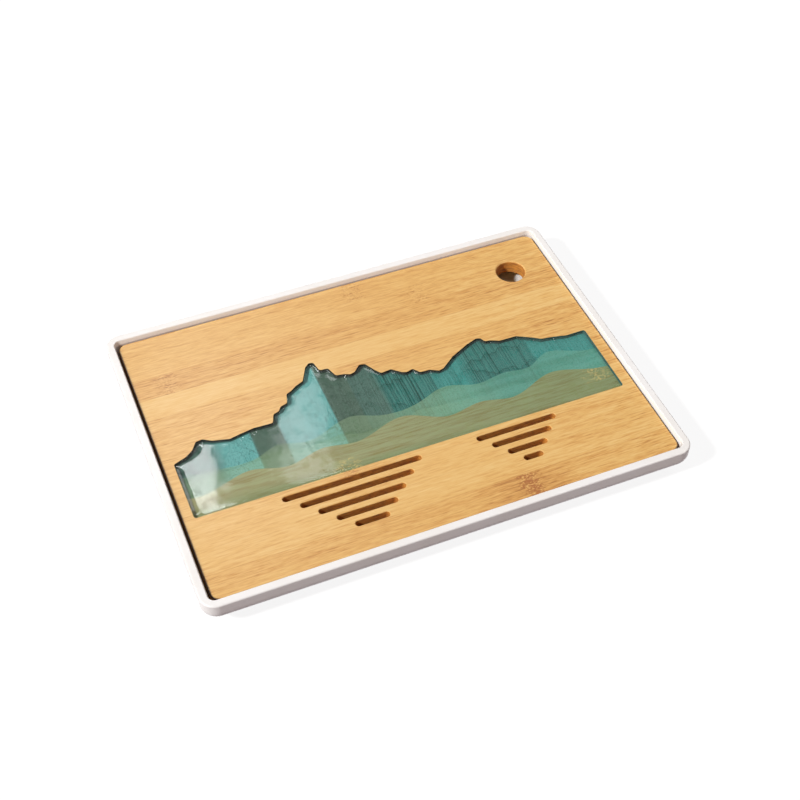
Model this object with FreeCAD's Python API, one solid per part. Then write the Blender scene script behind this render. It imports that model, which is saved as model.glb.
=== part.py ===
import FreeCAD, Part
import math
import os

from FreeCAD import Vector

# Tea tray with a loose bamboo panel in a white pan, in millimetres.
# The origin is on the table under the middle of the tray.
# X runs along the tray, Y from its front to its back, and Z up.

# Pan
tray_length = 388.0
tray_width = 280.0
rim_width = 6.2
well_flare = 0.7
outer_corner_radius = 12.0
inner_corner_radius = 4.5
band_height = 12.6
base_inset = 13.0
base_corner_radius = 6.0
rim_outer_round = 1.2
rim_inner_round = 0.9
band_lower_round = 10.5
floor_thickness = 3.0
wall_thickness = 3.6
basin_depth = 9.0
basin_corner_radius = 7.0
ledge_width = 5.0

# Feet, let into the base
foot_radius = 9.0
foot_stand = 2.0
foot_sink = 1.0
foot_inset = 24.0
foot_clearance = 0.2
foot_edge_round = 0.6

# Bamboo panel, which lies loose in the pan and has slid a little to the right and the front
panel_thickness = 12.0
panel_recess = 4.0
panel_gap = 0.9
panel_drift = 0.5
panel_drift_front = 0.3
panel_corner_radius = 8.0
panel_edge_round = 1.0
stave_count = 12

# Finger hole, from the right and back edges of the panel
hole_radius = 12.5
hole_inset_x = 36.3
hole_inset_y = 37.2
hole_chamfer = 0.8

# Drain slots, in two groups of rows that grow shorter towards the front.
# The first row lies over a glue line, and the pitch of the rows is a share of a stave.
slot_width = 5.0
slot_chamfer = 0.4
slot_glue_line = 3
slot_pitch_share = 0.458
left_slot_rows = 5
left_slot_offset = 57.0
left_slot_longest = 111.0
left_slot_shortest = 27.0
right_slot_rows = 4
right_slot_offset = 78.0
right_slot_longest = 67.0
right_slot_shortest = 16.0

# Inlay, a pocket in the panel with three films of paint under clear resin.
# It starts behind the first row of slots, and its peak rises by a share of the panel's width.
inlay_left_margin = 9.0
inlay_right_margin = 10.2
inlay_bridge = 5.3
inlay_height_share = 0.436
inlay_depth = 4.2
resin_recess = 1.2
paint_thickness = 0.3
cutter_radius = 2.2

# Mountain ridge from left to right, in shares of the inlay's length and height
ridge_shares = [
    (0.0, 0.47), (0.03, 0.503), (0.047, 0.54), (0.061, 0.603), (0.076, 0.609), (0.095, 0.574),
    (0.132, 0.545), (0.157, 0.56), (0.188, 0.576), (0.233, 0.571), (0.242, 0.643), (0.256, 0.656),
    (0.264, 0.69), (0.281, 0.706), (0.288, 0.782), (0.301, 0.8), (0.315, 0.83), (0.335, 0.856),
    (0.354, 0.97), (0.365, 1.0), (0.376, 0.993), (0.381, 0.909), (0.401, 0.904), (0.41, 0.822),
    (0.428, 0.813), (0.442, 0.795), (0.453, 0.804), (0.471, 0.857), (0.484, 0.848), (0.498, 0.769),
    (0.508, 0.727), (0.533, 0.735), (0.552, 0.682), (0.563, 0.669), (0.579, 0.683), (0.591, 0.634),
    (0.614, 0.63), (0.633, 0.598), (0.645, 0.608), (0.679, 0.688), (0.724, 0.757), (0.752, 0.787),
    (0.762, 0.778), (0.768, 0.739), (0.78, 0.735), (0.8, 0.706), (0.842, 0.704), (0.876, 0.647),
    (0.893, 0.613), (0.921, 0.6), (0.952, 0.578), (1.0, 0.58),
]

# Hill lines in the same shares, smooth curves that run past both ends of the inlay
middle_hill_shares = [
    (-0.03, 0.36), (0.1, 0.343), (0.175, 0.352), (0.225, 0.402), (0.285, 0.36), (0.36, 0.43),
    (0.405, 0.455), (0.45, 0.405), (0.505, 0.378), (0.565, 0.412), (0.63, 0.472), (0.7, 0.412),
    (0.775, 0.438), (0.83, 0.422), (0.888, 0.505), (0.945, 0.455), (1.03, 0.44),
]
near_hill_shares = [
    (-0.03, 0.225), (0.075, 0.205), (0.15, 0.262), (0.225, 0.205), (0.31, 0.264), (0.385, 0.232),
    (0.51, 0.325), (0.6, 0.215), (0.685, 0.25), (0.755, 0.208), (0.87, 0.318), (0.95, 0.255),
    (1.03, 0.235),
]

# Most of a side that one rounded corner of an outline may take up
corner_side_share = 0.45

# How far a cutting body reaches past what it cuts, and how level a flat edge is
overrun = 1.0
level_tolerance = 0.001

# Levels above the table
pan_bottom = foot_stand
basin_floor = pan_bottom + floor_thickness
ledge_level = basin_floor + basin_depth
panel_top = ledge_level + panel_thickness
rim_level = panel_top + panel_recess
band_bottom = rim_level - band_height
pocket_floor = panel_top - inlay_depth
resin_level = panel_top - resin_recess

# Plan sizes that follow from the ones above
mouth_length = tray_length - 2 * rim_width
mouth_width = tray_width - 2 * rim_width
opening_length = mouth_length - 2 * well_flare
opening_width = mouth_width - 2 * well_flare
panel_length = opening_length - 2 * panel_gap
panel_width = opening_width - 2 * panel_gap
panel_front = -panel_drift_front - panel_width / 2
stave_width = panel_width / stave_count
slot_pitch = slot_pitch_share * stave_width
first_slot_row = panel_front + slot_glue_line * stave_width
inlay_length = panel_length - inlay_left_margin - inlay_right_margin
inlay_height = inlay_height_share * panel_width
inlay_left = panel_drift - panel_length / 2 + inlay_left_margin
inlay_base = first_slot_row + slot_width / 2 + inlay_bridge

up = Vector(0, 0, 1)
corner_sides = [(1, 1), (-1, 1), (-1, -1), (1, -1)]


def closed_wire(arcs):
    """Join arcs, given in order, with straight sides into one closed wire."""
    edges = []
    for index, arc in enumerate(arcs):
        following = arcs[(index + 1) % len(arcs)]
        leave = arc.valueAt(arc.LastParameter)
        meet = following.valueAt(following.FirstParameter)
        edges.append(arc)
        edges.append(Part.makeLine(leave, meet))
    return Part.Wire(edges)


def rounded_rectangle(length, width, radius, level, centre_x=0, centre_y=0):
    """Closed wire of a level rectangle with round corners."""
    arcs = []
    for quarter, (side_x, side_y) in enumerate(corner_sides):
        x = centre_x + side_x * (length / 2 - radius)
        y = centre_y + side_y * (width / 2 - radius)
        arcs.append(Part.makeCircle(radius, Vector(x, y, level), up, 90 * quarter, 90 * (quarter + 1)))
    return closed_wire(arcs)


def rounded_outline(corners, radius):
    """Closed wire through level corners, each rounded as far as its two sides allow."""
    arcs = []
    for index, corner in enumerate(corners):
        back = corners[index - 1] - corner
        ahead = corners[(index + 1) % len(corners)] - corner
        half_angle = back.getAngle(ahead) / 2
        room = corner_side_share * min(back.Length, ahead.Length)
        reach = min(radius / math.tan(half_angle), room)
        back.normalize()
        ahead.normalize()
        inward = back + ahead
        inward.normalize()
        depth = reach / math.cos(half_angle) - reach * math.tan(half_angle)
        arc = Part.Arc(corner + back * reach, corner + inward * depth, corner + ahead * reach)
        arcs.append(arc.toShape())
    return closed_wire(arcs)


def slot_outline(length, width, x, y, level):
    """Closed wire of a level slot with half-round ends, along X."""
    reach = (length - width) / 2
    right = Part.makeCircle(width / 2, Vector(x + reach, y, level), up, -90, 90)
    left = Part.makeCircle(width / 2, Vector(x - reach, y, level), up, 90, 270)
    return closed_wire([right, left])


def prism(wire, height):
    """Solid that stands on a level closed wire."""
    return Part.Face(wire).extrude(up * height)


def level_edges(shape, level):
    """Edges of a shape that lie flat at one level."""
    found = []
    for edge in shape.Edges:
        box = edge.BoundBox
        if abs(box.ZMin - level) < level_tolerance and abs(box.ZMax - level) < level_tolerance:
            found.append(edge)
    return found


def outer_inset(level):
    """How far the pan's sloping side has drawn in from the band at a level."""
    return base_inset * (band_bottom - level) / (band_bottom - pan_bottom)


def foot_places():
    """Names and places of the four feet, under the corners of the base."""
    reach_x = tray_length / 2 - base_inset - foot_inset
    reach_y = tray_width / 2 - base_inset - foot_inset
    places = {}
    for row, side_y in (("front", -1), ("back", 1)):
        for column, side_x in (("left", -1), ("right", 1)):
            places["foot_" + row + "_" + column] = Vector(side_x * reach_x, side_y * reach_y, 0)
    return places


def make_pan():
    """White pan: rim and band, sloping sides, a ledge for the panel and a basin below it."""
    band_outline = rounded_rectangle(tray_length, tray_width, outer_corner_radius, band_bottom)
    base_outline = rounded_rectangle(tray_length - 2 * base_inset, tray_width - 2 * base_inset,
                                     base_corner_radius, pan_bottom)
    sides = Part.makeLoft([base_outline, band_outline], True, True)
    body = prism(band_outline, band_height).fuse(sides)
    body = body.makeFillet(rim_outer_round, level_edges(body, rim_level))
    body = body.makeFillet(band_lower_round, level_edges(body, band_bottom))

    well_outline = rounded_rectangle(opening_length, opening_width, inner_corner_radius, ledge_level)
    body = body.cut(prism(well_outline, rim_level - ledge_level + overrun))
    spread = well_flare * (panel_recess + overrun) / panel_recess
    flare_foot = rounded_rectangle(opening_length, opening_width, inner_corner_radius, panel_top)
    flare_mouth = rounded_rectangle(opening_length + 2 * spread, opening_width + 2 * spread,
                                    inner_corner_radius + spread, rim_level + overrun)
    body = body.cut(Part.makeLoft([flare_foot, flare_mouth], True, True))
    floor_inset = outer_inset(basin_floor) + wall_thickness
    basin_outline = rounded_rectangle(opening_length - 2 * ledge_width, opening_width - 2 * ledge_width,
                                      basin_corner_radius, ledge_level)
    floor_outline = rounded_rectangle(tray_length - 2 * floor_inset, tray_width - 2 * floor_inset,
                                      basin_corner_radius, basin_floor)
    body = body.cut(Part.makeLoft([floor_outline, basin_outline], True, True))

    inner_edges = []
    for edge in level_edges(body, rim_level):
        box = edge.BoundBox
        if max(abs(box.XMin), box.XMax) < mouth_length / 2 + level_tolerance:
            if max(abs(box.YMin), box.YMax) < mouth_width / 2 + level_tolerance:
                inner_edges.append(edge)
    body = body.makeFillet(rim_inner_round, inner_edges)

    for place in foot_places().values():
        socket = Part.makeCylinder(foot_radius + foot_clearance, foot_sink + overrun,
                                   place + up * (pan_bottom - overrun))
        body = body.cut(socket)
    return body


def make_foot(place):
    """Round silicone foot, seated in its socket and eased where it meets the table."""
    foot = Part.makeCylinder(foot_radius, foot_stand + foot_sink, place)
    return foot.makeFillet(foot_edge_round, level_edges(foot, 0))


def inlay_point(share_x, share_y, level):
    """Point on the panel from shares of the inlay's length and height."""
    return Vector(inlay_left + share_x * inlay_length, inlay_base + share_y * inlay_height, level)


def inlay_prism(low, high):
    """Slice of the mountain-shaped pocket between two levels."""
    corners = [inlay_point(1, 0, low), inlay_point(0, 0, low)]
    corners += [inlay_point(x, y, low) for x, y in ridge_shares]
    return prism(rounded_outline(corners, cutter_radius), high - low)


def hill_prism(line_shares, low, high):
    """Slice of everything in front of a hill line between two levels."""
    line = Part.BSplineCurve()
    line.interpolate([inlay_point(x, y, low) for x, y in line_shares])
    first = line.StartPoint
    last = line.EndPoint
    front = inlay_base - overrun
    front_first = Vector(first.x, front, low)
    front_last = Vector(last.x, front, low)
    sides = [Part.makeLine(last, front_last), Part.makeLine(front_last, front_first),
             Part.makeLine(front_first, first)]
    return prism(Part.Wire([line.toShape()] + sides), high - low)


def slot_rows():
    """Middle and length of every drain slot, as x, y and length."""
    groups = [
        (panel_drift - left_slot_offset, left_slot_rows, left_slot_longest, left_slot_shortest),
        (panel_drift + right_slot_offset, right_slot_rows, right_slot_longest, right_slot_shortest),
    ]
    rows = []
    for x, count, longest, shortest in groups:
        for row in range(count):
            length = longest + (shortest - longest) * row / (count - 1)
            rows.append((x, first_slot_row - row * slot_pitch, length))
    return rows


def drain_cut(x, y, length):
    """Body that cuts one drain slot with its eased upper edge."""
    straight = slot_outline(length, slot_width, x, y, ledge_level - overrun)
    cut = prism(straight, panel_thickness + 2 * overrun)
    spread = 2 * slot_chamfer
    foot = slot_outline(length, slot_width, x, y, panel_top - slot_chamfer)
    mouth = slot_outline(length + spread, slot_width + spread, x, y, panel_top)
    return cut.fuse(Part.makeLoft([foot, mouth], True, True))


def hole_cut():
    """Body that cuts the finger hole with its eased upper edge."""
    x = panel_drift + panel_length / 2 - hole_inset_x
    y = panel_front + panel_width - hole_inset_y
    bore = Part.makeCylinder(hole_radius, panel_thickness + 2 * overrun,
                             Vector(x, y, ledge_level - overrun))
    mouth = Part.makeCone(hole_radius, hole_radius + hole_chamfer, hole_chamfer,
                          Vector(x, y, panel_top - hole_chamfer))
    return bore.fuse(mouth)


def make_panel():
    """Whole bamboo panel with its pocket, finger hole and drain slots."""
    outline = rounded_rectangle(panel_length, panel_width, panel_corner_radius, ledge_level,
                                panel_drift, -panel_drift_front)
    panel = prism(outline, panel_thickness)
    eased = level_edges(panel, panel_top) + level_edges(panel, ledge_level)
    panel = panel.makeFillet(panel_edge_round, eased)
    panel = panel.cut(inlay_prism(pocket_floor, panel_top + overrun))
    panel = panel.cut(hole_cut())
    for x, y, length in slot_rows():
        panel = panel.cut(drain_cut(x, y, length))
    return panel


def make_staves():
    """Panel sawn along its glue lines into its staves, numbered from the front."""
    panel = make_panel()
    room = Vector(panel_drift - panel_length / 2 - overrun, panel_front, ledge_level - overrun)
    staves = {}
    for index in range(stave_count):
        strip = Part.makeBox(panel_length + 2 * overrun, stave_width, panel_thickness + 2 * overrun,
                             room + Vector(0, index * stave_width, 0))
        staves["stave_%02d" % (index + 1)] = panel.common(strip)
    return staves


def make_inlay():
    """Films of paint on the pocket's floor, each over the last, and the resin above them."""
    middle_level = pocket_floor + paint_thickness
    near_level = middle_level + paint_thickness
    near_top = near_level + paint_thickness
    far = inlay_prism(pocket_floor, middle_level)
    middle = inlay_prism(middle_level, near_level)
    middle = middle.common(hill_prism(middle_hill_shares, middle_level, near_level))
    near = inlay_prism(near_level, near_top)
    near = near.common(hill_prism(near_hill_shares, near_level, near_top))
    resin = inlay_prism(middle_level, resin_level).cut(middle).cut(near)
    return {"far_mountains": far, "middle_hills": middle, "near_hills": near, "clear_resin": resin}


def main():
    nodes = {"tray_pan": make_pan()}
    for name, place in foot_places().items():
        nodes[name] = make_foot(place)
    nodes.update(make_staves())
    nodes.update(make_inlay())
    os.makedirs("parts", exist_ok=True)
    for name, shape in nodes.items():
        shape.exportStep("parts/" + name + ".step")
        print(name, len(shape.Solids), "solids", round(shape.Volume), "mm3", shape.isValid())


main()
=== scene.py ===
"""Finishes for a gongfu tea tray: a white pan, a bamboo panel and a painted inlay under clear resin."""

import math

import bmesh
import bpy
import numpy as np
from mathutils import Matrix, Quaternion, Vector


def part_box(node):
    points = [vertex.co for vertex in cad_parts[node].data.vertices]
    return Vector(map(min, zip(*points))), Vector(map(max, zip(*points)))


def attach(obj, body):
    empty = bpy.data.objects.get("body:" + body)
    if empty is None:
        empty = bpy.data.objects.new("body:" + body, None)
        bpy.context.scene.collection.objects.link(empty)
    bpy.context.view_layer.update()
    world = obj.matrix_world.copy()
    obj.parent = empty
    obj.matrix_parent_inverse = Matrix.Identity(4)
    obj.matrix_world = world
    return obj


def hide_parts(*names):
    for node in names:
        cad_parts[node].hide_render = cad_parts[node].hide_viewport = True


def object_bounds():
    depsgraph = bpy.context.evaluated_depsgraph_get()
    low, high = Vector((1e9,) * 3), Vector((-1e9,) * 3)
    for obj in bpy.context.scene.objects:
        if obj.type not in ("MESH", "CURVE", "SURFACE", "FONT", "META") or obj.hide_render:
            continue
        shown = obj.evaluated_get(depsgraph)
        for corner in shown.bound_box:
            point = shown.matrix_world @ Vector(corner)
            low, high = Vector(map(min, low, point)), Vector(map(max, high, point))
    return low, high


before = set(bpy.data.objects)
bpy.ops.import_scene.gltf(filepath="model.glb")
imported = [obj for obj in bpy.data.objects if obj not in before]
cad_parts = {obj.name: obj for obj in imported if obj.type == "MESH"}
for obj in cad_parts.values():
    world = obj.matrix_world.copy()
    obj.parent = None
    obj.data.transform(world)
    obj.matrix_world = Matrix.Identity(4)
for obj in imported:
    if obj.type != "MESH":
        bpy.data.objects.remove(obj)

bl_info = {
    "name": "Gongfu Tea Tray",
    "version": (1, 0, 0),
    "blender": (4, 5, 0),
    "location": "3D View > Sidebar > Tea Tray",
    "description": "Dresses the tea tray's solids, pours its resin and sets its stage",
    "category": "Object",
}

CAD_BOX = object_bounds()
MM = 1000.0
STAVES = sorted(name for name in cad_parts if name.startswith("stave_"))
FEET = sorted(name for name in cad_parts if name.startswith("foot_"))

# Places that the finishes follow, read from the CAD parts in model.glb, in millimetres
PANEL_LOW = Vector([min(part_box(name)[0][axis] for name in STAVES) for axis in range(3)]) * MM
PANEL_HIGH = Vector([max(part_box(name)[1][axis] for name in STAVES) for axis in range(3)]) * MM
STAVE_WIDTH = (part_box(STAVES[0])[1].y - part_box(STAVES[0])[0].y) * MM
INLAY_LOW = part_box("clear_resin")[0] * MM
INLAY_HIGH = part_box("clear_resin")[1] * MM
INLAY_SIZE = INLAY_HIGH - INLAY_LOW

# Radius of the panel's corners in millimetres, which the CAD parts don't state
PANEL_CORNER = 8.0

# Tone of each stave, front to back, from 0 for pale to 1 for brown
STAVE_TONES = (0.58, 0.42, 0.46, 0.47, 0.50, 0.53, 0.56, 0.58, 0.38, 0.62, 0.50, 0.52)

# Growth rings of the culm: stave number from the front, place along it in millimetres, and strength
KNUCKLES = (
    (12, 14.0, 0.5), (11, 64.0, 0.45), (10, -159.0, 0.45), (5, 164.0, 0.6), (4, -55.0, 0.6), (1, 65.0, 1.0)
)

# Growth rings in millimetres: how far they wander, their core, their reach, and their tint's reach
RING_WANDER = 24.0
RING_CORE = 2.0
RING_REACH = 13.0
HALO_REACH = 55.0

# Width of a glue line on each of the two staves that it joins, in millimetres
GLUE_WIDTH = 0.2

# Step of the noise's seed from one stave to the next
STAVE_SEED = 7.31

# Washes of the mountains: place along the tray in millimetres, and paint
WASHES = (
    (-178.0, "moss"), (-150.0, "moss"), (-136.0, "haze"), (-114.5, "haze"), (-113.0, "shade"),
    (-91.0, "shade"), (-89.5, "mist"), (-56.0, "haze"), (-47.0, "haze"), (-46.0, "shade"),
    (-25.0, "shade"), (-24.0, "moss"), (-4.0, "moss"), (0.0, "deep"), (38.0, "deep"),
    (42.0, "teal"), (66.0, "teal"), (73.0, "deep"), (123.0, "deep"), (128.0, "teal"),
)

# How far brush strokes show in the washes: place along the tray in millimetres, and share
BRUSH_SHARES = (
    (-60.0, 0.15), (-45.0, 0.4), (-4.0, 0.4), (4.0, 1.0), (38.0, 0.8),
    (44.0, 0.4), (68.0, 0.4), (76.0, 1.0), (120.0, 0.7), (128.0, 0.3),
)

# Faint ridges inside the mountains: place across the tray and spread in millimetres, and seed
INNER_RIDGES = ((-6.0, 110.0, 1.0), (16.0, 120.0, 12.0))

# Grain of a noise, in millimetres, that is too long to change along an axis
ENDLESS = 1e6

# Middle of a noise's values
MIDDLE = 0.5

# Poured resin: longest step along its wall in metres, and its rings' shares of the way to its level surface
RESIN_STEP = 0.0015
RING_SHARES = (0.0, 0.12, 0.26, 0.44, 0.68, 1.0)

# Refractive index of the resin, for how far it mirrors
RESIN_IOR = 1.5

# Distance in metres under which two points are one
TOUCH = 1e-6

# Shine of the lacquer on the bamboo, and of common plastic
LACQUER_SHINE = 0.85
PLASTIC_SHINE = 0.5

# Sockets of a Mix node that joins two colours
MIX_SHARE = 0
MIX_FIRST = 6
MIX_SECOND = 7
MIX_RESULT = 2

# A direction and colours of light
DOWN = (0.0, 0.0, -1.0)
WHITE = (1.0, 1.0, 1.0)
WARM = (1.0, 0.99, 0.98)
DAYLIGHT = (0.97, 0.99, 1.0)

# Soft lamps: name, place in metres, direction, width and depth in metres, and colour
LAMPS = (
    ("key", (-4.36, -0.92, 4.02), (0.726, 0.154, -0.67), (0.5, 0.5), WARM),
    ("ceiling", (0.40, 0.98, 1.20), DOWN, (1.2, 0.95), WHITE),
    ("fill", (0.80, -0.10, 1.20), (-0.55, 0.07, -0.83), (0.6, 0.6), WARM),
)

# Windows that the camera sees mirrored in the resin: name, start and end there in millimetres, and strips,
# each with a width in millimetres and a share of the window's brightness
WINDOWS = (
    ("window", (-151.0, 105.0), (-176.0, -70.0), ((42.0, 1.0),)),
    ("second_window", (-56.0, 100.0), (-88.0, -66.0), ((8.0, 0.38), (20.0, 0.31), (40.0, 0.24))),
)

# Height of the windows in metres
WINDOW_HEIGHT = 1.0

# Room: tint, heights of a line of sight between which it dims, and share of its brightness left overhead
ROOM_TINT = (1.0, 0.79, 0.79, 1.0)
ROOM_PALE_BELOW = 0.25
ROOM_DIM_ABOVE = 0.62
ROOM_DIM_SHARE = 0.05

# Half the floor's width in metres, and the glow that keeps it white
FLOOR_HALF = 8.0
FLOOR_GLOW = 0.88

# Width of the camera's sensor in millimetres
SENSOR_WIDTH = 36.0


def display(red, green, blue):
    """A colour written as it shows on a screen, 0 to 255, as linear red, green, blue and alpha."""
    channels = [value / 255 for value in (red, green, blue)]
    return (*[v / 12.92 if v <= 0.04045 else ((v + 0.055) / 1.055) ** 2.4 for v in channels], 1.0)


def grey(value):
    """A grey as a colour."""
    return (value, value, value, 1.0)


# Settings


def colour_property(name, description, shade):
    """A colour that a user may change."""
    return bpy.props.FloatVectorProperty(
        name=name, description=description, default=shade, size=4, min=0.0, max=1.0, subtype="COLOR"
    )


def length_property(name, description, default):
    """A length in metres that a user may change."""
    return bpy.props.FloatProperty(
        name=name, description=description, default=default, min=0.0, precision=5, unit="LENGTH"
    )


def angle_property(name, description, degrees):
    """An angle, written in degrees, that a user may change."""
    return bpy.props.FloatProperty(
        name=name, description=description, default=math.radians(degrees), subtype="ANGLE", unit="ROTATION"
    )


def brightness_property(name, description, default):
    """A brightness that a user may change."""
    return bpy.props.FloatProperty(name=name, description=description, default=default)


class PanFinish(bpy.types.PropertyGroup):
    """Colours of the pan and its feet."""

    white: colour_property("White", "Melamine of the pan", display(241, 240, 238))
    cream: colour_property("Cream", "Slightly warmer clouds in the melamine", display(238, 236, 232))
    silicone: colour_property("Silicone", "Feet under the pan", display(176, 175, 170))
    dust: colour_property("Dust", "What the feet pick up", display(146, 143, 136))


class BambooFinish(bpy.types.PropertyGroup):
    """Colours and grain of the bamboo staves."""

    pale: colour_property("Pale", "Lightest staves", display(232, 194, 124))
    golden: colour_property("Golden", "Most of the panel", display(225, 179, 102))
    amber: colour_property("Amber", "Darker staves and fibres", display(210, 155, 79))
    brown: colour_property("Brown", "Darkest fibres", display(170, 110, 46))
    knuckle: colour_property("Knuckle", "Growth rings of the culm", display(170, 103, 45))
    cut: colour_property("Cut edge", "Walls of holes, slots and outline", display(212, 142, 48))
    scorch: colour_property("Scorch", "Burnt marks on the cut walls", display(168, 104, 38))
    # Rim: painted shade, a dark line round the panel's front and sides that stands for the shade in the gap
    # to the pan
    rim_shade: colour_property("Rim", "Dark line round the panel's front and sides", display(62, 36, 17))
    fibre_width: length_property("Fibre width", "Width of the fine fibres", 0.0008)
    fibre_length: length_property("Fibre length", "Length of the fine fibres", 0.014)


class PaintFinish(bpy.types.PropertyGroup):
    """Colours of the three paint films."""

    mist: colour_property("Mist", "Palest teal, left of the middle", display(136, 177, 175))
    haze: colour_property("Haze", "Light teal on the left", display(119, 180, 178))
    teal: colour_property("Teal", "Lighter mountains on the right", display(80, 152, 146))
    deep: colour_property("Deep teal", "Darker mountains on the right", display(74, 133, 126))
    moss: colour_property("Moss", "Dull green washes, and the strokes on all washes", display(93, 121, 111))
    shade: colour_property("Shade", "Grey-green bands", display(92, 112, 99))
    # Edge: painted shade, the dark colour given to the pocket's walls above the resin, where they stand in
    # shade
    edge: colour_property("Edge", "Dark line at the top of the pocket's walls", display(36, 42, 34))
    hill: colour_property("Hill", "Middle hills on the left", display(168, 188, 146))
    far_hill: colour_property("Far hill", "Middle hills on the right", display(115, 171, 154))
    sage: colour_property("Sage", "Near hills on the left", display(174, 168, 127))
    low_sage: colour_property("Low sage", "Near hills on the right and at their foot", display(143, 150, 107))


class ResinShape(bpy.types.PropertyGroup):
    """Shape and tint of the poured resin."""

    clearance: length_property("Clearance", "Air left between the resin and the wall", 0.00004)
    climb: length_property("Climb", "Height that the resin climbs up the wall", 0.0005)
    reach: length_property("Reach", "Distance from the wall at which it lies flat", 0.007)
    tint: colour_property("Tint", "Light that the resin lets through", display(249, 253, 252))


class StageSetup(bpy.types.PropertyGroup):
    """Camera and lights."""

    aim: bpy.props.FloatVectorProperty(
        name="Aim", description="Point that the camera looks at", default=(0.00427, -0.01052, 0.030),
        subtype="TRANSLATION", unit="LENGTH",
    )
    distance: length_property("Distance", "From the camera to its aim", 1.04021)
    azimuth: angle_property("Azimuth", "Camera's turn about the tray", -23.011)
    elevation: angle_property("Elevation", "Camera's angle above the floor", 48.189)
    roll: angle_property("Roll", "Camera's tilt about its line of sight", 0.892)
    lens: bpy.props.FloatProperty(
        name="Lens", description="Focal length on a 36 mm sensor, in millimetres", default=59.98, min=1.0
    )
    key: brightness_property("Key", "Brightness of the lamp on the left", 486.0)
    window: brightness_property("Window", "Brightness of the window that the resin mirrors", 12.6)
    fill: brightness_property("Fill", "Brightness of the lamp on the right", 2.6)
    ceiling: brightness_property("Ceiling", "Brightness of the pale ceiling that the lacquer mirrors", 0.7)
    sky: brightness_property("Sky", "Brightness of the room near the floor", 0.58)


class TeaTray(bpy.types.PropertyGroup):
    """All settings of the tea tray."""

    pan: bpy.props.PointerProperty(type=PanFinish)
    bamboo: bpy.props.PointerProperty(type=BambooFinish)
    paint: bpy.props.PointerProperty(type=PaintFinish)
    resin: bpy.props.PointerProperty(type=ResinShape)
    stage: bpy.props.PointerProperty(type=StageSetup)


# Finishes


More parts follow.
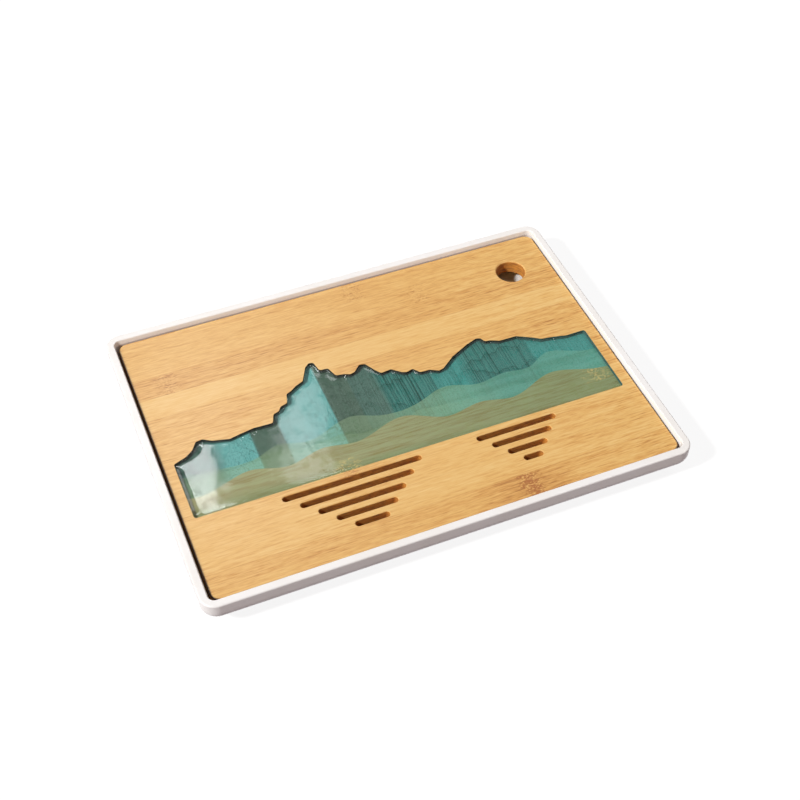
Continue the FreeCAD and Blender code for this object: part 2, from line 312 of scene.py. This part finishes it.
class Finish:
    """A material in the making: short calls add nodes and give back their output sockets."""

    def __init__(self, name):
        self.material = bpy.data.materials.new(name)
        self.material.use_nodes = True
        self.tree = self.material.node_tree
        self.tree.nodes.clear()
        self.output = self.tree.nodes.new("ShaderNodeOutputMaterial")

    def node(self, kind, inputs=None, **settings):
        """A node with its settings made and its inputs set or joined."""
        made = self.tree.nodes.new("ShaderNode" + kind)
        for setting, value in settings.items():
            setattr(made, setting, value)
        for socket, value in (inputs or {}).items():
            if isinstance(value, bpy.types.NodeSocket):
                self.tree.links.new(value, made.inputs[socket])
            else:
                made.inputs[socket].default_value = value
        return made

    def surface(self, shader):
        """Makes this shader the finish, and gives back the material."""
        self.tree.links.new(shader, self.output.inputs["Surface"])
        return self.material

    def place(self):
        """The point on the surface in the tray's frame, in millimetres."""
        here = self.node("TexCoord").outputs["Object"]
        return self.node("VectorMath", {0: here, "Scale": MM}, operation="SCALE").outputs[0]

    def axes(self, vector):
        """The three parts of a vector."""
        return self.node("SeparateXYZ", {0: vector}).outputs[0:3]

    def vector(self, operation, first, second=(0.0, 0.0, 0.0), output=0):
        """One sum on two vectors, with output 1 where it gives a number."""
        return self.node("VectorMath", {0: first, 1: second}, operation=operation).outputs[output]

    def math(self, operation, first, second=0.0):
        """One sum on two numbers."""
        return self.node("Math", {0: first, 1: second}, operation=operation).outputs[0]

    def plus(self, first, second):
        """Two numbers added."""
        return self.math("ADD", first, second)

    def minus(self, first, second):
        """The first number less the second."""
        return self.math("SUBTRACT", first, second)

    def times(self, first, second):
        """Two numbers multiplied."""
        return self.math("MULTIPLY", first, second)

    def ratio(self, first, second):
        """The first number divided by the second."""
        return self.math("DIVIDE", first, second)

    def distance(self, value, other):
        """How far a number lies from another."""
        return self.math("ABSOLUTE", self.minus(value, other))

    def between(self, value, low, high):
        """1 where a number lies between two others, and 0 elsewhere."""
        return self.times(self.math("GREATER_THAN", value, low), self.math("LESS_THAN", value, high))

    def blend(self, share, first, second, way="MIX"):
        """Two colours joined by a share."""
        inputs = {MIX_SHARE: share, MIX_FIRST: first, MIX_SECOND: second}
        return self.node("Mix", inputs, data_type="RGBA", blend_type=way).outputs[MIX_RESULT]

    def darken(self, share, colour, by):
        """A colour multiplied by another, by a share."""
        return self.blend(share, colour, by, "MULTIPLY")

    def rise(self, value, low, high):
        """0 at low, 1 at high and smooth between, with low above high for a fall."""
        inputs = {"Value": value, "From Min": low, "From Max": high}
        return self.node("MapRange", inputs, interpolation_type="SMOOTHSTEP").outputs[0]

    def scale(self, value, low, high):
        """A number from 0 to 1 spread from low to high."""
        return self.node("MapRange", {"Value": value, "To Min": low, "To Max": high}).outputs[0]

    def noise(self, place, across, detail=2.0, seed=0.0):
        """Noise whose grains measure across, in millimetres: one number for all axes, or one for each."""
        sizes = across if isinstance(across, tuple) else (across, across, across)
        stretched = self.vector("DIVIDE", place, sizes)
        inputs = {"Vector": stretched, "W": seed, "Scale": 1.0, "Detail": detail}
        return self.node("TexNoise", inputs, noise_dimensions="4D").outputs[0]

    def veins(self, pattern, wide, thin):
        """Lines where a noise crosses its middle: 0 past the wide distance from it, 1 within the thin one."""
        return self.rise(self.distance(pattern, MIDDLE), wide, thin)

    def crest(self, place, middle, spread, length, detail, seed):
        """A rolling line along the tray, as its place across the tray in millimetres."""
        roll = self.noise(place, (length, ENDLESS, ENDLESS), detail, seed)
        return self.plus(self.times(self.minus(roll, MIDDLE), spread), middle)

    def ramp(self, share, stops, interpolation="LINEAR"):
        """A colour from a row of stops, each a place from 0 to 1 and a colour."""
        made = self.node("ValToRGB", {0: share})
        made.color_ramp.interpolation = interpolation
        ends = made.color_ramp.elements
        for end, (place, colour) in ((ends[0], stops[0]), (ends[1], stops[-1])):
            end.position = place
            end.color = colour
        for place, colour in stops[1:-1]:
            ends.new(place).color = colour
        return made.outputs[0]

    def inlay_share(self, x):
        """A place along the inlay, from 0 at its left end to 1 at its right end."""
        return self.ratio(self.minus(x, INLAY_LOW.x), INLAY_SIZE.x)

    def along_inlay(self, x, stops):
        """A colour that changes along the inlay, from stops in millimetres."""
        shares = [((at - INLAY_LOW.x) / INLAY_SIZE.x, colour) for at, colour in stops]
        return self.ramp(self.inlay_share(x), shares)

    def bump(self, height, depth):
        """A normal from a height from 0 to 1 that stands for depth in metres."""
        return self.node("Bump", {"Height": height, "Distance": depth}).outputs[0]

    def plain(self, colour, roughness, normal, shine=PLASTIC_SHINE):
        """A Principled shader."""
        inputs = {"Base Color": colour, "Roughness": roughness, "Normal": normal, "Specular IOR Level": shine}
        return self.node("BsdfPrincipled", inputs).outputs[0]


def dress(names, material):
    """Gives CAD nodes a finish."""
    for name in names:
        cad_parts[name].material_slots[0].material = material


# Pan and feet


def melamine(look):
    """Hard white plastic: faint clouds, a satin gloss and the slight waviness of a moulded wall."""
    finish = Finish("melamine")
    place = finish.place()
    clouds = finish.noise(place, 45.0, detail=3.0)
    grain = finish.noise(place, 0.6, seed=3.0)
    waves = finish.noise(place, 7.0, detail=1.0, seed=8.0)
    colour = finish.blend(finish.rise(clouds, 0.4, 0.65), look.white, look.cream)
    roughness = finish.scale(grain, 0.24, 0.36)
    return finish.surface(finish.plain(colour, roughness, finish.bump(waves, depth=0.00006)))


def silicone(look):
    """Soft matt rubber that holds a little dust."""
    finish = Finish("silicone")
    specks = finish.noise(finish.place(), 1.2, detail=4.0)
    colour = finish.blend(finish.rise(specks, 0.45, 0.75), look.silicone, look.dust)
    roughness = finish.scale(specks, 0.6, 0.8)
    return finish.surface(finish.plain(colour, roughness, finish.bump(specks, depth=0.0001)))


# Bamboo


class Grain:
    """The bamboo's pattern, as sockets of a finish: fibres, streaks, vessels and growth rings."""

    def __init__(self, finish, look, place):
        self.finish = finish
        self.x, self.y, self.z = finish.axes(place)
        across = finish.ratio(finish.minus(self.y, PANEL_LOW.y), STAVE_WIDTH)
        number = finish.math("FLOOR", across)
        seed = finish.times(number, STAVE_SEED)
        width = look.fibre_width * MM
        length = look.fibre_length * MM
        self.fine = finish.noise(place, (length, width, width), seed=seed)
        self.flecks = finish.noise(place, (length / 2, width, width), detail=1.0, seed=finish.plus(seed, 3.0))
        self.streaks = finish.noise(place, (length * 3, width * 2.2, width * 2.2), detail=3.0, seed=seed)
        self.broad = finish.noise(place, (length * 14, STAVE_WIDTH / 2, STAVE_WIDTH), seed=seed)
        self.vessels = finish.rise(self.flecks, 0.60, 0.72)
        tones = [(index / len(STAVE_TONES), grey(tone)) for index, tone in enumerate(STAVE_TONES)]
        self.tone = finish.ramp(finish.ratio(across, len(STAVE_TONES)), tones, "CONSTANT")
        off_middle = finish.distance(finish.math("FRACT", across), 0.5)
        self.glue = finish.rise(off_middle, 0.5 - GLUE_WIDTH / STAVE_WIDTH, 0.5)
        self.growth_rings(place, number)

    def growth_rings(self, place, number):
        """Where the culm's rings cross the staves, how far they darken them, and the mottle inside them."""
        finish = self.finish
        wander = finish.times(finish.noise(place, (9.0, 4.0, 9.0), detail=3.0, seed=2.0), RING_WANDER)
        along = finish.plus(self.x, finish.minus(wander, RING_WANDER / 2))
        self.rings = 0.0
        self.halo = 0.0
        for stave, middle, strength in KNUCKLES:
            off = finish.distance(along, middle)
            here = finish.math("COMPARE", number, stave - 1.0)
            ring = finish.times(finish.rise(off, RING_REACH, RING_CORE), here)
            halo = finish.times(finish.rise(off, HALO_REACH, 0.0), here)
            self.rings = finish.plus(self.rings, finish.times(ring, strength))
            self.halo = finish.plus(self.halo, finish.times(halo, strength * strength))
        self.mottle = finish.noise(place, (1.8, 0.9, 1.8), seed=5.0)

    def depth(self):
        """How dark the bamboo is, from 0 to 1, with its grain crisper to the right."""
        finish = self.finish
        change = 0.0
        weights = ((self.fine, 0.8), (self.flecks, 0.55), (self.streaks, 0.4), (self.broad, 0.3))
        for pattern, weight in weights:
            change = finish.plus(change, finish.times(finish.minus(pattern, MIDDLE), weight))
        crisp = finish.scale(finish.rise(self.x, 0.0, 180.0), 1.0, 1.5)
        total = finish.plus(self.tone, finish.times(self.halo, 0.2))
        total = finish.plus(total, finish.times(change, crisp))
        mottle = finish.times(finish.minus(self.mottle, 0.47), self.rings)
        return finish.plus(total, finish.times(mottle, 2.2))

    def height(self):
        """The grain that a fingertip feels."""
        pores = self.finish.times(self.vessels, -0.5)
        seams = self.finish.times(self.glue, -0.6)
        return self.finish.plus(self.finish.plus(self.fine, pores), seams)


def bamboo(look, paint):
    """Lacquered bamboo, with bare brown walls where it is cut, paint on the pocket's own walls, and painted
    shade round the panel's front and sides and along the pocket's top edge.
    """
    finish = Finish("bamboo")
    place = finish.place()
    grain = Grain(finish, look, place)
    upright = finish.axes(finish.node("NewGeometry").outputs["True Normal"])[2]
    facing = finish.math("ABSOLUTE", upright)
    is_wall = finish.rise(facing, 0.55, 0.35)
    colour = finish.blend(is_wall, sanded_top(grain, look), cut_walls(grain, look, paint, place))
    # Painted shade of the gap to the pan, along the panel's front and sides
    colour = finish.blend(painted_gap_shade(finish, place), colour, look.rim_shade)
    worn = finish.times(finish.rise(facing, 0.98, 0.85), 0.8)
    roughness = finish.math("MAXIMUM", finish.scale(grain.fine, 0.27, 0.43), worn)
    normal = finish.bump(grain.height(), depth=0.00004)
    return finish.surface(finish.plain(colour, roughness, normal, LACQUER_SHINE))


def sanded_top(grain, look):
    """Colour of the panel's top: fibres, growth rings and glue lines."""
    finish = grain.finish
    stops = [(0.12, look.pale), (0.46, look.golden), (0.72, look.amber), (1.0, look.brown)]
    colour = finish.ramp(grain.depth(), stops)
    burst = finish.times(finish.math("POWER", grain.rings, 3.0), finish.rise(grain.mottle, 0.3, 0.7))
    colour = finish.blend(burst, colour, look.knuckle)
    return finish.blend(finish.times(grain.glue, 0.3), colour, look.brown)


def cut_walls(grain, look, paint, place):
    """Colour of the cut walls: scorched wood, and in the inlay's pocket the paint, darkened as painted shade,
    with a dark line of painted shade along the walls' top edge.
    """
    finish = grain.finish
    burn = finish.noise(place, (6.0, 6.0, 1.5), detail=3.0, seed=9.0)
    wood = finish.blend(finish.rise(burn, 0.35, 0.7), look.cut, look.scorch)
    # Painted shade on the walls' top edge, less dark towards the inlay's right end
    thin = finish.scale(finish.rise(grain.x, 100.0, 170.0), 0.0, 0.45)
    edge = finish.blend(thin, paint.edge, paint.deep)
    # The paint on the pocket's walls, darkened towards moss as painted shade
    soaked_and_shaded = finish.darken(0.7, mountain_colour(finish, paint, place), paint.moss)
    wet = finish.rise(grain.z, INLAY_HIGH.z - 0.6, INLAY_HIGH.z - 2.0)
    return finish.blend(near_pocket(grain), wood, finish.blend(wet, edge, soaked_and_shaded))


def near_pocket(grain):
    """1 inside the box of the inlay's pocket and on its walls, and 0 elsewhere."""
    margin = 1.0
    in_length = grain.finish.between(grain.x, INLAY_LOW.x - margin, INLAY_HIGH.x + margin)
    in_width = grain.finish.between(grain.y, INLAY_LOW.y - margin, INLAY_HIGH.y + margin)
    return grain.finish.times(in_length, in_width)


def painted_gap_shade(finish, place):
    """Painted shade of the gap round the panel: 1 on the panel's outline at its top, fading to 0 a little way
    in and down, and along its back.
    """
    straight = (PANEL_HIGH - PANEL_LOW) / 2 - Vector((PANEL_CORNER, PANEL_CORNER, 0.0))
    away = finish.vector("ABSOLUTE", finish.vector("SUBTRACT", place, (PANEL_LOW + PANEL_HIGH) / 2))
    past = finish.vector("MAXIMUM", finish.vector("SUBTRACT", away, straight))
    flat = finish.vector("MULTIPLY", past, (1.0, 1.0, 0.0))
    near = finish.rise(finish.vector("LENGTH", flat, output=1), PANEL_CORNER - 1.6, PANEL_CORNER - 0.4)
    y, z = finish.axes(place)[1:]
    high = finish.rise(z, PANEL_HIGH.z - 2.5, PANEL_HIGH.z - 1.2)
    front = finish.rise(y, PANEL_HIGH.y - 1.0, PANEL_HIGH.y - 9.0)
    return finish.times(finish.times(near, high), front)


# Paint


def mountain_colour(finish, paint, place):
    """Teal washes side by side, brushed from ridge to foot, with faint ridges inside them."""
    x, y = finish.axes(place)[:2]
    colour = finish.along_inlay(x, [(at, getattr(paint, name)) for at, name in WASHES])
    brushed = finish.along_inlay(x, [(at, grey(share)) for at, share in BRUSH_SHARES])
    colour = finish.darken(finish.times(brush_strokes(finish, place), brushed), colour, paint.moss)
    colour = finish.darken(finish.times(specks(finish, place, seed=31.0), 0.26), colour, paint.moss)
    colour = finish.darken(finish.times(curls(finish, place, x), 0.45), colour, paint.moss)
    colour = finish.darken(finish.times(blotches(finish, place, x), 0.6), colour, paint.shade)
    for middle, spread, seed in INNER_RIDGES:
        crest = finish.crest(place, middle, spread, length=46.0, detail=4.0, seed=seed)
        ridge = ridge_line(finish, finish.minus(crest, y))
        colour = finish.darken(finish.times(ridge, brushed), colour, paint.moss)
    return colour


def brush_strokes(finish, place):
    """Fine and broad strokes from ridge to foot, and the hairs of a dry brush."""
    fine = finish.rise(finish.noise(place, (1.1, 120.0, 120.0), seed=4.0), 0.48, 0.60)
    broad = finish.rise(finish.noise(place, (6.0, 170.0, 170.0), detail=3.0, seed=6.0), 0.48, 0.62)
    hairs = finish.veins(finish.noise(place, (13.0, 300.0, 300.0), seed=8.0), 0.014, 0.004)
    strokes = finish.plus(finish.times(fine, 0.6), finish.times(broad, 0.22))
    return finish.plus(strokes, finish.times(hairs, 0.14))


def specks(finish, place, seed):
    """Small specks of pigment."""
    return finish.rise(finish.noise(place, (1.3, 1.6, 1.6), seed=seed), 0.46, 0.66)


def curls(finish, place, x):
    """Fine curling lines on the left half of the mountains."""
    lines = finish.veins(finish.noise(place, (11.0, 14.0, 14.0), detail=4.0, seed=35.0), 0.012, 0.004)
    return finish.times(lines, finish.rise(x, 10.0, -30.0))


def blotches(finish, place, x):
    """Dark blotches at the inlay's left end."""
    patches = finish.rise(finish.noise(place, 7.0, detail=4.0, seed=33.0), 0.46, 0.60)
    return finish.times(patches, finish.rise(x, -138.0, -160.0))


def ridge_line(finish, under):
    """A stroke along a ridge and a soft shadow in front of it, from the distance in front of its crest."""
    shadow = finish.times(finish.rise(under, -0.3, 0.2), finish.rise(under, 9.0, 0.0))
    stroke = finish.times(finish.rise(under, -0.6, 0.0), finish.rise(under, 1.2, 0.4))
    return finish.plus(finish.times(shadow, 0.25), finish.times(stroke, 0.3))


def matt_paint(finish, colour, brush):
    """A film of paint with brush marks, without a gloss of its own under the resin."""
    roughness = finish.scale(brush, 0.4, 0.6)
    return finish.surface(finish.plain(colour, roughness, finish.bump(brush, depth=0.00003), shine=0.0))


def brush_marks(finish, place, seed):
    """Marks of the brush's hairs, which run from ridge to foot."""
    return finish.noise(place, (0.8, 40.0, 40.0), seed=seed)


def mountain_paint(paint):
    """The film on the pocket's floor."""
    finish = Finish("teal_paint")
    place = finish.place()
    colour = mountain_colour(finish, paint, place)
    return matt_paint(finish, colour, brush_marks(finish, place, seed=15.0))


def middle_paint(paint):
    """A thin green film, with the mountains showing through it and a second hill inside it."""
    finish = Finish("green_paint")
    place = finish.place()
    x, y = finish.axes(place)[:2]
    hill = finish.along_inlay(x, [(-10.0, paint.hill), (90.0, paint.far_hill)])
    crest = finish.crest(place, middle=-22.0, spread=34.0, length=42.0, detail=1.0, seed=21.0)
    nearer = finish.rise(finish.minus(crest, y), -0.2, 0.2)
    cover = finish.scale(finish.rise(x, -40.0, 70.0), 0.3, 0.66)
    cover = finish.plus(cover, finish.times(nearer, 0.12))
    colour = finish.blend(cover, mountain_colour(finish, paint, place), hill)
    bands = finish.rise(finish.noise(place, (90.0, 6.0, 6.0), detail=3.0, seed=23.0), 0.42, 0.68)
    colour = finish.darken(finish.times(bands, 0.26), colour, paint.hill)
    colour = finish.darken(finish.times(specks(finish, place, seed=41.0), 0.2), colour, paint.moss)
    return matt_paint(finish, colour, brush_marks(finish, place, seed=16.0))


def near_paint(paint, look):
    """A sage film that lets the bamboo's fibres and growth rings show."""
    finish = Finish("sage_paint")
    grain = Grain(finish, look, finish.place())
    foot = finish.rise(grain.y, INLAY_LOW.y + 16.0, INLAY_LOW.y)
    low = finish.math("MAXIMUM", finish.rise(finish.inlay_share(grain.x), 0.1, 1.1), foot)
    colour = finish.blend(low, paint.sage, paint.low_sage)
    fibres = finish.rise(finish.plus(grain.fine, grain.streaks), 0.8, 1.36)
    colour = finish.darken(finish.times(fibres, 0.5), colour, look.amber)
    ring = finish.times(grain.rings, finish.rise(grain.mottle, 0.5, 0.62))
    colour = finish.blend(ring, colour, look.pale)
    return matt_paint(finish, colour, grain.fine)


# Resin


def top_outline(node):
    """Corners of a CAD node's top face from the leftmost one, seen from above and turning to the left."""
    solid = bmesh.new()
    solid.from_mesh(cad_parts[node].data)
    bmesh.ops.remove_doubles(solid, verts=solid.verts, dist=TOUCH)
    top = max(vertex.co.z for vertex in solid.verts)
    faces = {face for face in solid.faces if all(top - vertex.co.z < TOUCH for vertex in face.verts)}
    after = {}
    for face in faces:
        for loop in face.loops:
            if not any(other in faces for other in loop.edge.link_faces if other is not face):
                after[loop.vert] = loop.link_loop_next.vert
    corner = min(after, key=lambda vertex: vertex.co[:])
    outline = []
    while corner in after:
        outline.append(corner.co.xy[:])
        corner = after.pop(corner)
    solid.free()
    return np.array(outline), top


def split_edges(outline, longest):
    """The outline with its long edges cut into even steps, none longer than this."""
    points = []
    for start, end in zip(outline, np.roll(outline, -1, 0)):
        count = max(1, math.ceil(np.linalg.norm(end - start) / longest))
        points += [start + (end - start) * step / count for step in range(count)]
    return np.array(points)


def inward(outline):
    """Steps that take the outline's walls one unit inward, longer at its sharp corners, up to a limit."""
    sharpest = 0.5
    before = outline - np.roll(outline, 1, 0)
    after = np.roll(outline, -1, 0) - outline
    along = before / np.linalg.norm(before, axis=1)[:, None] + after / np.linalg.norm(after, axis=1)[:, None]
    across = np.stack([-along[:, 1], along[:, 0]], 1)
    return 2 * across / np.maximum((across * across).sum(1), sharpest)[:, None]


def nearness(points, outline):
    """Distance from each point to the outline."""
    start = outline[None]
    run = np.roll(outline, -1, 0)[None] - start
    reach = points[:, None] - start
    share = np.clip((reach * run).sum(2) / (run * run).sum(2), 0, 1)
    return np.linalg.norm(reach - share[..., None] * run, axis=2).min(1)


def room_inside(outline, reach):
    """How far each corner can step inward, up to a reach, with no other wall nearer and no edges crossed."""
    tries = 40
    shrink = 0.92
    own_wall_share = 0.995
    least_edge_share = 0.1
    kept_share = 0.95
    steps = np.full(len(outline), reach)
    direction = inward(outline)
    edges = np.roll(outline, -1, 0) - outline
    for _ in range(tries):
        points = outline + direction * steps[:, None]
        moved = np.roll(points, -1, 0) - points
        crossed = (moved * edges).sum(1) < least_edge_share * (edges * edges).sum(1)
        tight = (nearness(points, outline) < own_wall_share * steps) | crossed | np.roll(crossed, 1)
        steps[tight] *= shrink
    return steps * kept_share


def resin_rings(shape):
    """Rings of the resin's skin from its underside, up the wall and down to its level surface."""
    outline, level = top_outline("clear_resin")
    outline = split_edges(outline, RESIN_STEP)
    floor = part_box("near_hills")[1].z + shape.clearance
    wall = outline + inward(outline) * shape.clearance
    room = room_inside(wall, shape.reach)
    rings = [(wall, np.full(len(outline), floor))]
    for share in RING_SHARES:
        heights = level + shape.climb * room / shape.reach * (1 - share) ** 2
        rings.append((wall + inward(wall) * (room * share)[:, None], heights))
    return rings


def pour(shape):
    """The resin as one closed mesh."""
    skin = bmesh.new()
    rings = []
    for ring, heights in resin_rings(shape):
        rings.append([skin.verts.new((x, y, z)) for (x, y), z in zip(ring, heights)])
    skin.faces.new(reversed(rings[0]))
    for lower, upper in zip(rings, rings[1:]):
        for index in range(len(lower)):
            following = (index + 1) % len(lower)
            face = skin.faces.new((lower[index], lower[following], upper[following], upper[index]))
            face.smooth = lower is not rings[0]
    skin.faces.new(rings[-1])
    mesh = bpy.data.meshes.new("poured_resin")
    skin.to_mesh(mesh)
    skin.free()
    return mesh


def clear_resin(shape):
    """Clear resin that mirrors lights on its skin and shows the paint under it without bending light."""
    finish = Finish("clear_resin")
    place = finish.place()
    polish = finish.noise(place, 3.0, seed=4.0)
    ripple = finish.plus(finish.noise(place, 26.0, detail=1.0), finish.times(polish, 0.06))
    normal = finish.bump(ripple, depth=0.0002)
    roughness = finish.scale(polish, 0.03, 0.09)
    gloss = finish.node("BsdfGlossy", {"Roughness": roughness, "Normal": normal}).outputs[0]
    clear = finish.node("BsdfTransparent", {"Color": shape.tint}).outputs[0]
    mirror = finish.node("Fresnel", {"IOR": RESIN_IOR, "Normal": normal}).outputs[0]
    outside = finish.minus(1.0, finish.node("NewGeometry").outputs["Backfacing"])
    scuffs = finish.rise(finish.noise(place, (5.0, 7.0, 7.0), detail=5.0, seed=6.0), 0.50, 0.62)
    share = finish.times(finish.times(mirror, outside), finish.scale(scuffs, 1.0, 0.5))
    return finish.surface(finish.node("MixShader", {0: share, 1: clear, 2: gloss}).outputs[0])


# Stage


def floor_paper():
    """White paper that keeps the tray's shadow, and sends a little less light back up on to it."""
    pale = display(116, 116, 116)
    fibres = display(112, 112, 112)
    sent_back = display(90, 70, 72)
    finish = Finish("floor_paper")
    path = finish.node("LightPath").outputs
    seen = finish.math("MAXIMUM", path["Is Camera Ray"], path["Is Glossy Ray"])
    seen = finish.math("MAXIMUM", seen, path["Is Transmission Ray"])
    paper = finish.blend(finish.noise(finish.place(), 2.0), pale, fibres)
    shown = finish.node("BsdfDiffuse", {"Color": paper}).outputs[0]
    glow = finish.node("Emission", {"Color": grey(1.0), "Strength": FLOOR_GLOW}).outputs[0]
    lit = finish.node("AddShader", {0: shown, 1: glow}).outputs[0]
    bounced = finish.node("BsdfDiffuse", {"Color": sent_back}).outputs[0]
    return finish.surface(finish.node("MixShader", {0: seen, 1: bounced, 2: lit}).outputs[0])


def lay_floor():
    """A floor under the feet, wide enough for any view."""
    level = CAD_BOX[0].z
    sheet = bmesh.new()
    signs = ((-1, -1), (1, -1), (1, 1), (-1, 1))
    sheet.faces.new([sheet.verts.new((x * FLOOR_HALF, y * FLOOR_HALF, level)) for x, y in signs])
    mesh = bpy.data.meshes.new("floor")
    sheet.to_mesh(mesh)
    sheet.free()
    mesh.materials.append(floor_paper())
    floor = bpy.data.objects.new("floor", mesh)
    bpy.context.scene.collection.objects.link(floor)


def hang_light(name, at, facing, size, radiance, colour, turn=0.0):
    """A rectangular soft light that the camera doesn't see, as bright as it looks in a mirror."""
    data = bpy.data.lights.new(name, "AREA")
    data.shape = "RECTANGLE"
    data.size, data.size_y = size
    data.energy = radiance * math.pi * size[0] * size[1]
    data.color = colour
    light = bpy.data.objects.new(name, data)
    light.location = at
    light.rotation_mode = "QUATERNION"
    light.rotation_quaternion = Vector(facing).to_track_quat("-Z", "Y") @ Quaternion((0, 0, 1), turn)
    light.visible_camera = False
    bpy.context.scene.collection.objects.link(light)


def hang_strip(name, start, end, width, radiance):
    """A strip light overhead that the camera sees mirrored in the resin, from start to end in millimetres."""
    eye = bpy.context.scene.camera.location
    ends = []
    for x, y in (start, end):
        glare = Vector((x, y, INLAY_HIGH.z)) / MM
        ends.append(glare + (glare - eye) * WINDOW_HEIGHT / eye.z)
    along = ends[1] - ends[0]
    middle = (ends[0] + ends[1]) / 2
    middle.z = WINDOW_HEIGHT
    turn = math.atan2(along.y, along.x) - math.pi / 2
    size = (width / MM * (1 + WINDOW_HEIGHT / eye.z), along.xy.length)
    hang_light(name, middle, DOWN, size, radiance, DAYLIGHT, turn)


def light_room(strength):
    """A plain room, pale near the floor and dim overhead."""
    world = bpy.data.worlds.new("studio")
    world.use_nodes = True
    tree = world.node_tree
    background = tree.nodes["Background"]
    direction = tree.nodes.new("ShaderNodeTexCoord")
    axes = tree.nodes.new("ShaderNodeSeparateXYZ")
    fade = tree.nodes.new("ShaderNodeMapRange")
    background.inputs["Color"].default_value = ROOM_TINT
    fade.inputs["From Min"].default_value = ROOM_PALE_BELOW
    fade.inputs["From Max"].default_value = ROOM_DIM_ABOVE
    fade.inputs["To Min"].default_value = strength
    fade.inputs["To Max"].default_value = strength * ROOM_DIM_SHARE
    tree.links.new(direction.outputs["Generated"], axes.inputs[0])
    tree.links.new(axes.outputs["Z"], fade.inputs["Value"])
    tree.links.new(fade.outputs[0], background.inputs["Strength"])
    bpy.context.scene.world = world


def place_camera(stage):
    """The camera at the photograph's angle."""
    level = math.cos(stage.elevation)
    across = math.sin(stage.azimuth) * level
    ahead = -math.cos(stage.azimuth) * level
    back = Vector((across, ahead, math.sin(stage.elevation)))
    data = bpy.data.cameras.new("camera")
    data.lens = stage.lens
    data.sensor_width = SENSOR_WIDTH
    camera = bpy.data.objects.new("camera", data)
    camera.location = Vector(stage.aim) + back * stage.distance
    camera.rotation_mode = "QUATERNION"
    camera.rotation_quaternion = (-back).to_track_quat("-Z", "Y") @ Quaternion((0, 0, 1), stage.roll)
    bpy.context.scene.collection.objects.link(camera)
    bpy.context.scene.camera = camera


# Operators


class TEA_TRAY_OT_pan(bpy.types.Operator):
    """Finish the pan in white melamine"""

    bl_idname = "tea_tray.pan"
    bl_label = "Finish Pan"

    def execute(self, context):
        dress(["tray_pan"], melamine(context.scene.tea_tray.pan))
        return {"FINISHED"}


class TEA_TRAY_OT_feet(bpy.types.Operator):
    """Finish the four feet in silicone"""

    bl_idname = "tea_tray.feet"
    bl_label = "Finish Feet"

    def execute(self, context):
        dress(FEET, silicone(context.scene.tea_tray.pan))
        return {"FINISHED"}


class TEA_TRAY_OT_staves(bpy.types.Operator):
    """Finish the twelve staves in lacquered bamboo"""

    bl_idname = "tea_tray.staves"
    bl_label = "Finish Staves"

    def execute(self, context):
        tray = context.scene.tea_tray
        dress(STAVES, bamboo(tray.bamboo, tray.paint))
        return {"FINISHED"}


class TEA_TRAY_OT_paint(bpy.types.Operator):
    """Paint the mountains and the two rows of hills"""

    bl_idname = "tea_tray.paint"
    bl_label = "Paint Inlay"

    def execute(self, context):
        tray = context.scene.tea_tray
        dress(["far_mountains"], mountain_paint(tray.paint))
        dress(["middle_hills"], middle_paint(tray.paint))
        dress(["near_hills"], near_paint(tray.paint, tray.bamboo))
        return {"FINISHED"}


class TEA_TRAY_OT_resin(bpy.types.Operator):
    """Pour clear resin over the paint, climbing a little at the walls"""

    bl_idname = "tea_tray.resin"
    bl_label = "Pour Resin"

    def execute(self, context):
        shape = context.scene.tea_tray.resin
        mesh = pour(shape)
        mesh.materials.append(clear_resin(shape))
        poured = bpy.data.objects.new("poured_resin", mesh)
        context.scene.collection.objects.link(poured)
        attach(poured, "panel")
        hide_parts("clear_resin")
        return {"FINISHED"}


class TEA_TRAY_OT_stage(bpy.types.Operator):
    """Lay the floor, hang the lights and place the camera"""

    bl_idname = "tea_tray.stage"
    bl_label = "Set Stage"

    def execute(self, context):
        stage = context.scene.tea_tray.stage
        context.scene.view_settings.view_transform = "Standard"
        lay_floor()
        light_room(stage.sky)
        place_camera(stage)
        for name, at, facing, size, colour in LAMPS:
            hang_light(name, at, facing, size, getattr(stage, name), colour)
        for name, start, end, strips in WINDOWS:
            for width, share in strips:
                hang_strip(name, start, end, width, stage.window * share)
        return {"FINISHED"}


class VIEW3D_PT_tea_tray(bpy.types.Panel):
    """Tea tray settings and steps"""

    bl_label = "Gongfu Tea Tray"
    bl_space_type = "VIEW_3D"
    bl_region_type = "UI"
    bl_category = "Tea Tray"

    def draw(self, context):
        tray = context.scene.tea_tray
        for group in (tray.pan, tray.bamboo, tray.paint, tray.resin, tray.stage):
            box = self.layout.box()
            for name in group.__annotations__:
                box.prop(group, name)
        for step in STEPS:
            self.layout.operator(step.bl_idname)


STEPS = (
    TEA_TRAY_OT_pan,
    TEA_TRAY_OT_feet,
    TEA_TRAY_OT_staves,
    TEA_TRAY_OT_paint,
    TEA_TRAY_OT_resin,
    TEA_TRAY_OT_stage,
)
GROUPS = (PanFinish, BambooFinish, PaintFinish, ResinShape, StageSetup, TeaTray)
CLASSES = (*GROUPS, *STEPS, VIEW3D_PT_tea_tray)


def register():
    """Adds the classes and the scene's settings."""
    for each in CLASSES:
        bpy.utils.register_class(each)
    bpy.types.Scene.tea_tray = bpy.props.PointerProperty(type=TeaTray)


def unregister():
    """Takes the settings and the classes away again."""
    del bpy.types.Scene.tea_tray
    for each in reversed(CLASSES):
        bpy.utils.unregister_class(each)


def main():
    """Registers the add-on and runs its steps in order."""
    register()
    for step in STEPS:
        getattr(bpy.ops.tea_tray, step.bl_idname.split(".")[1])()


if __name__ == "__main__":
    main()
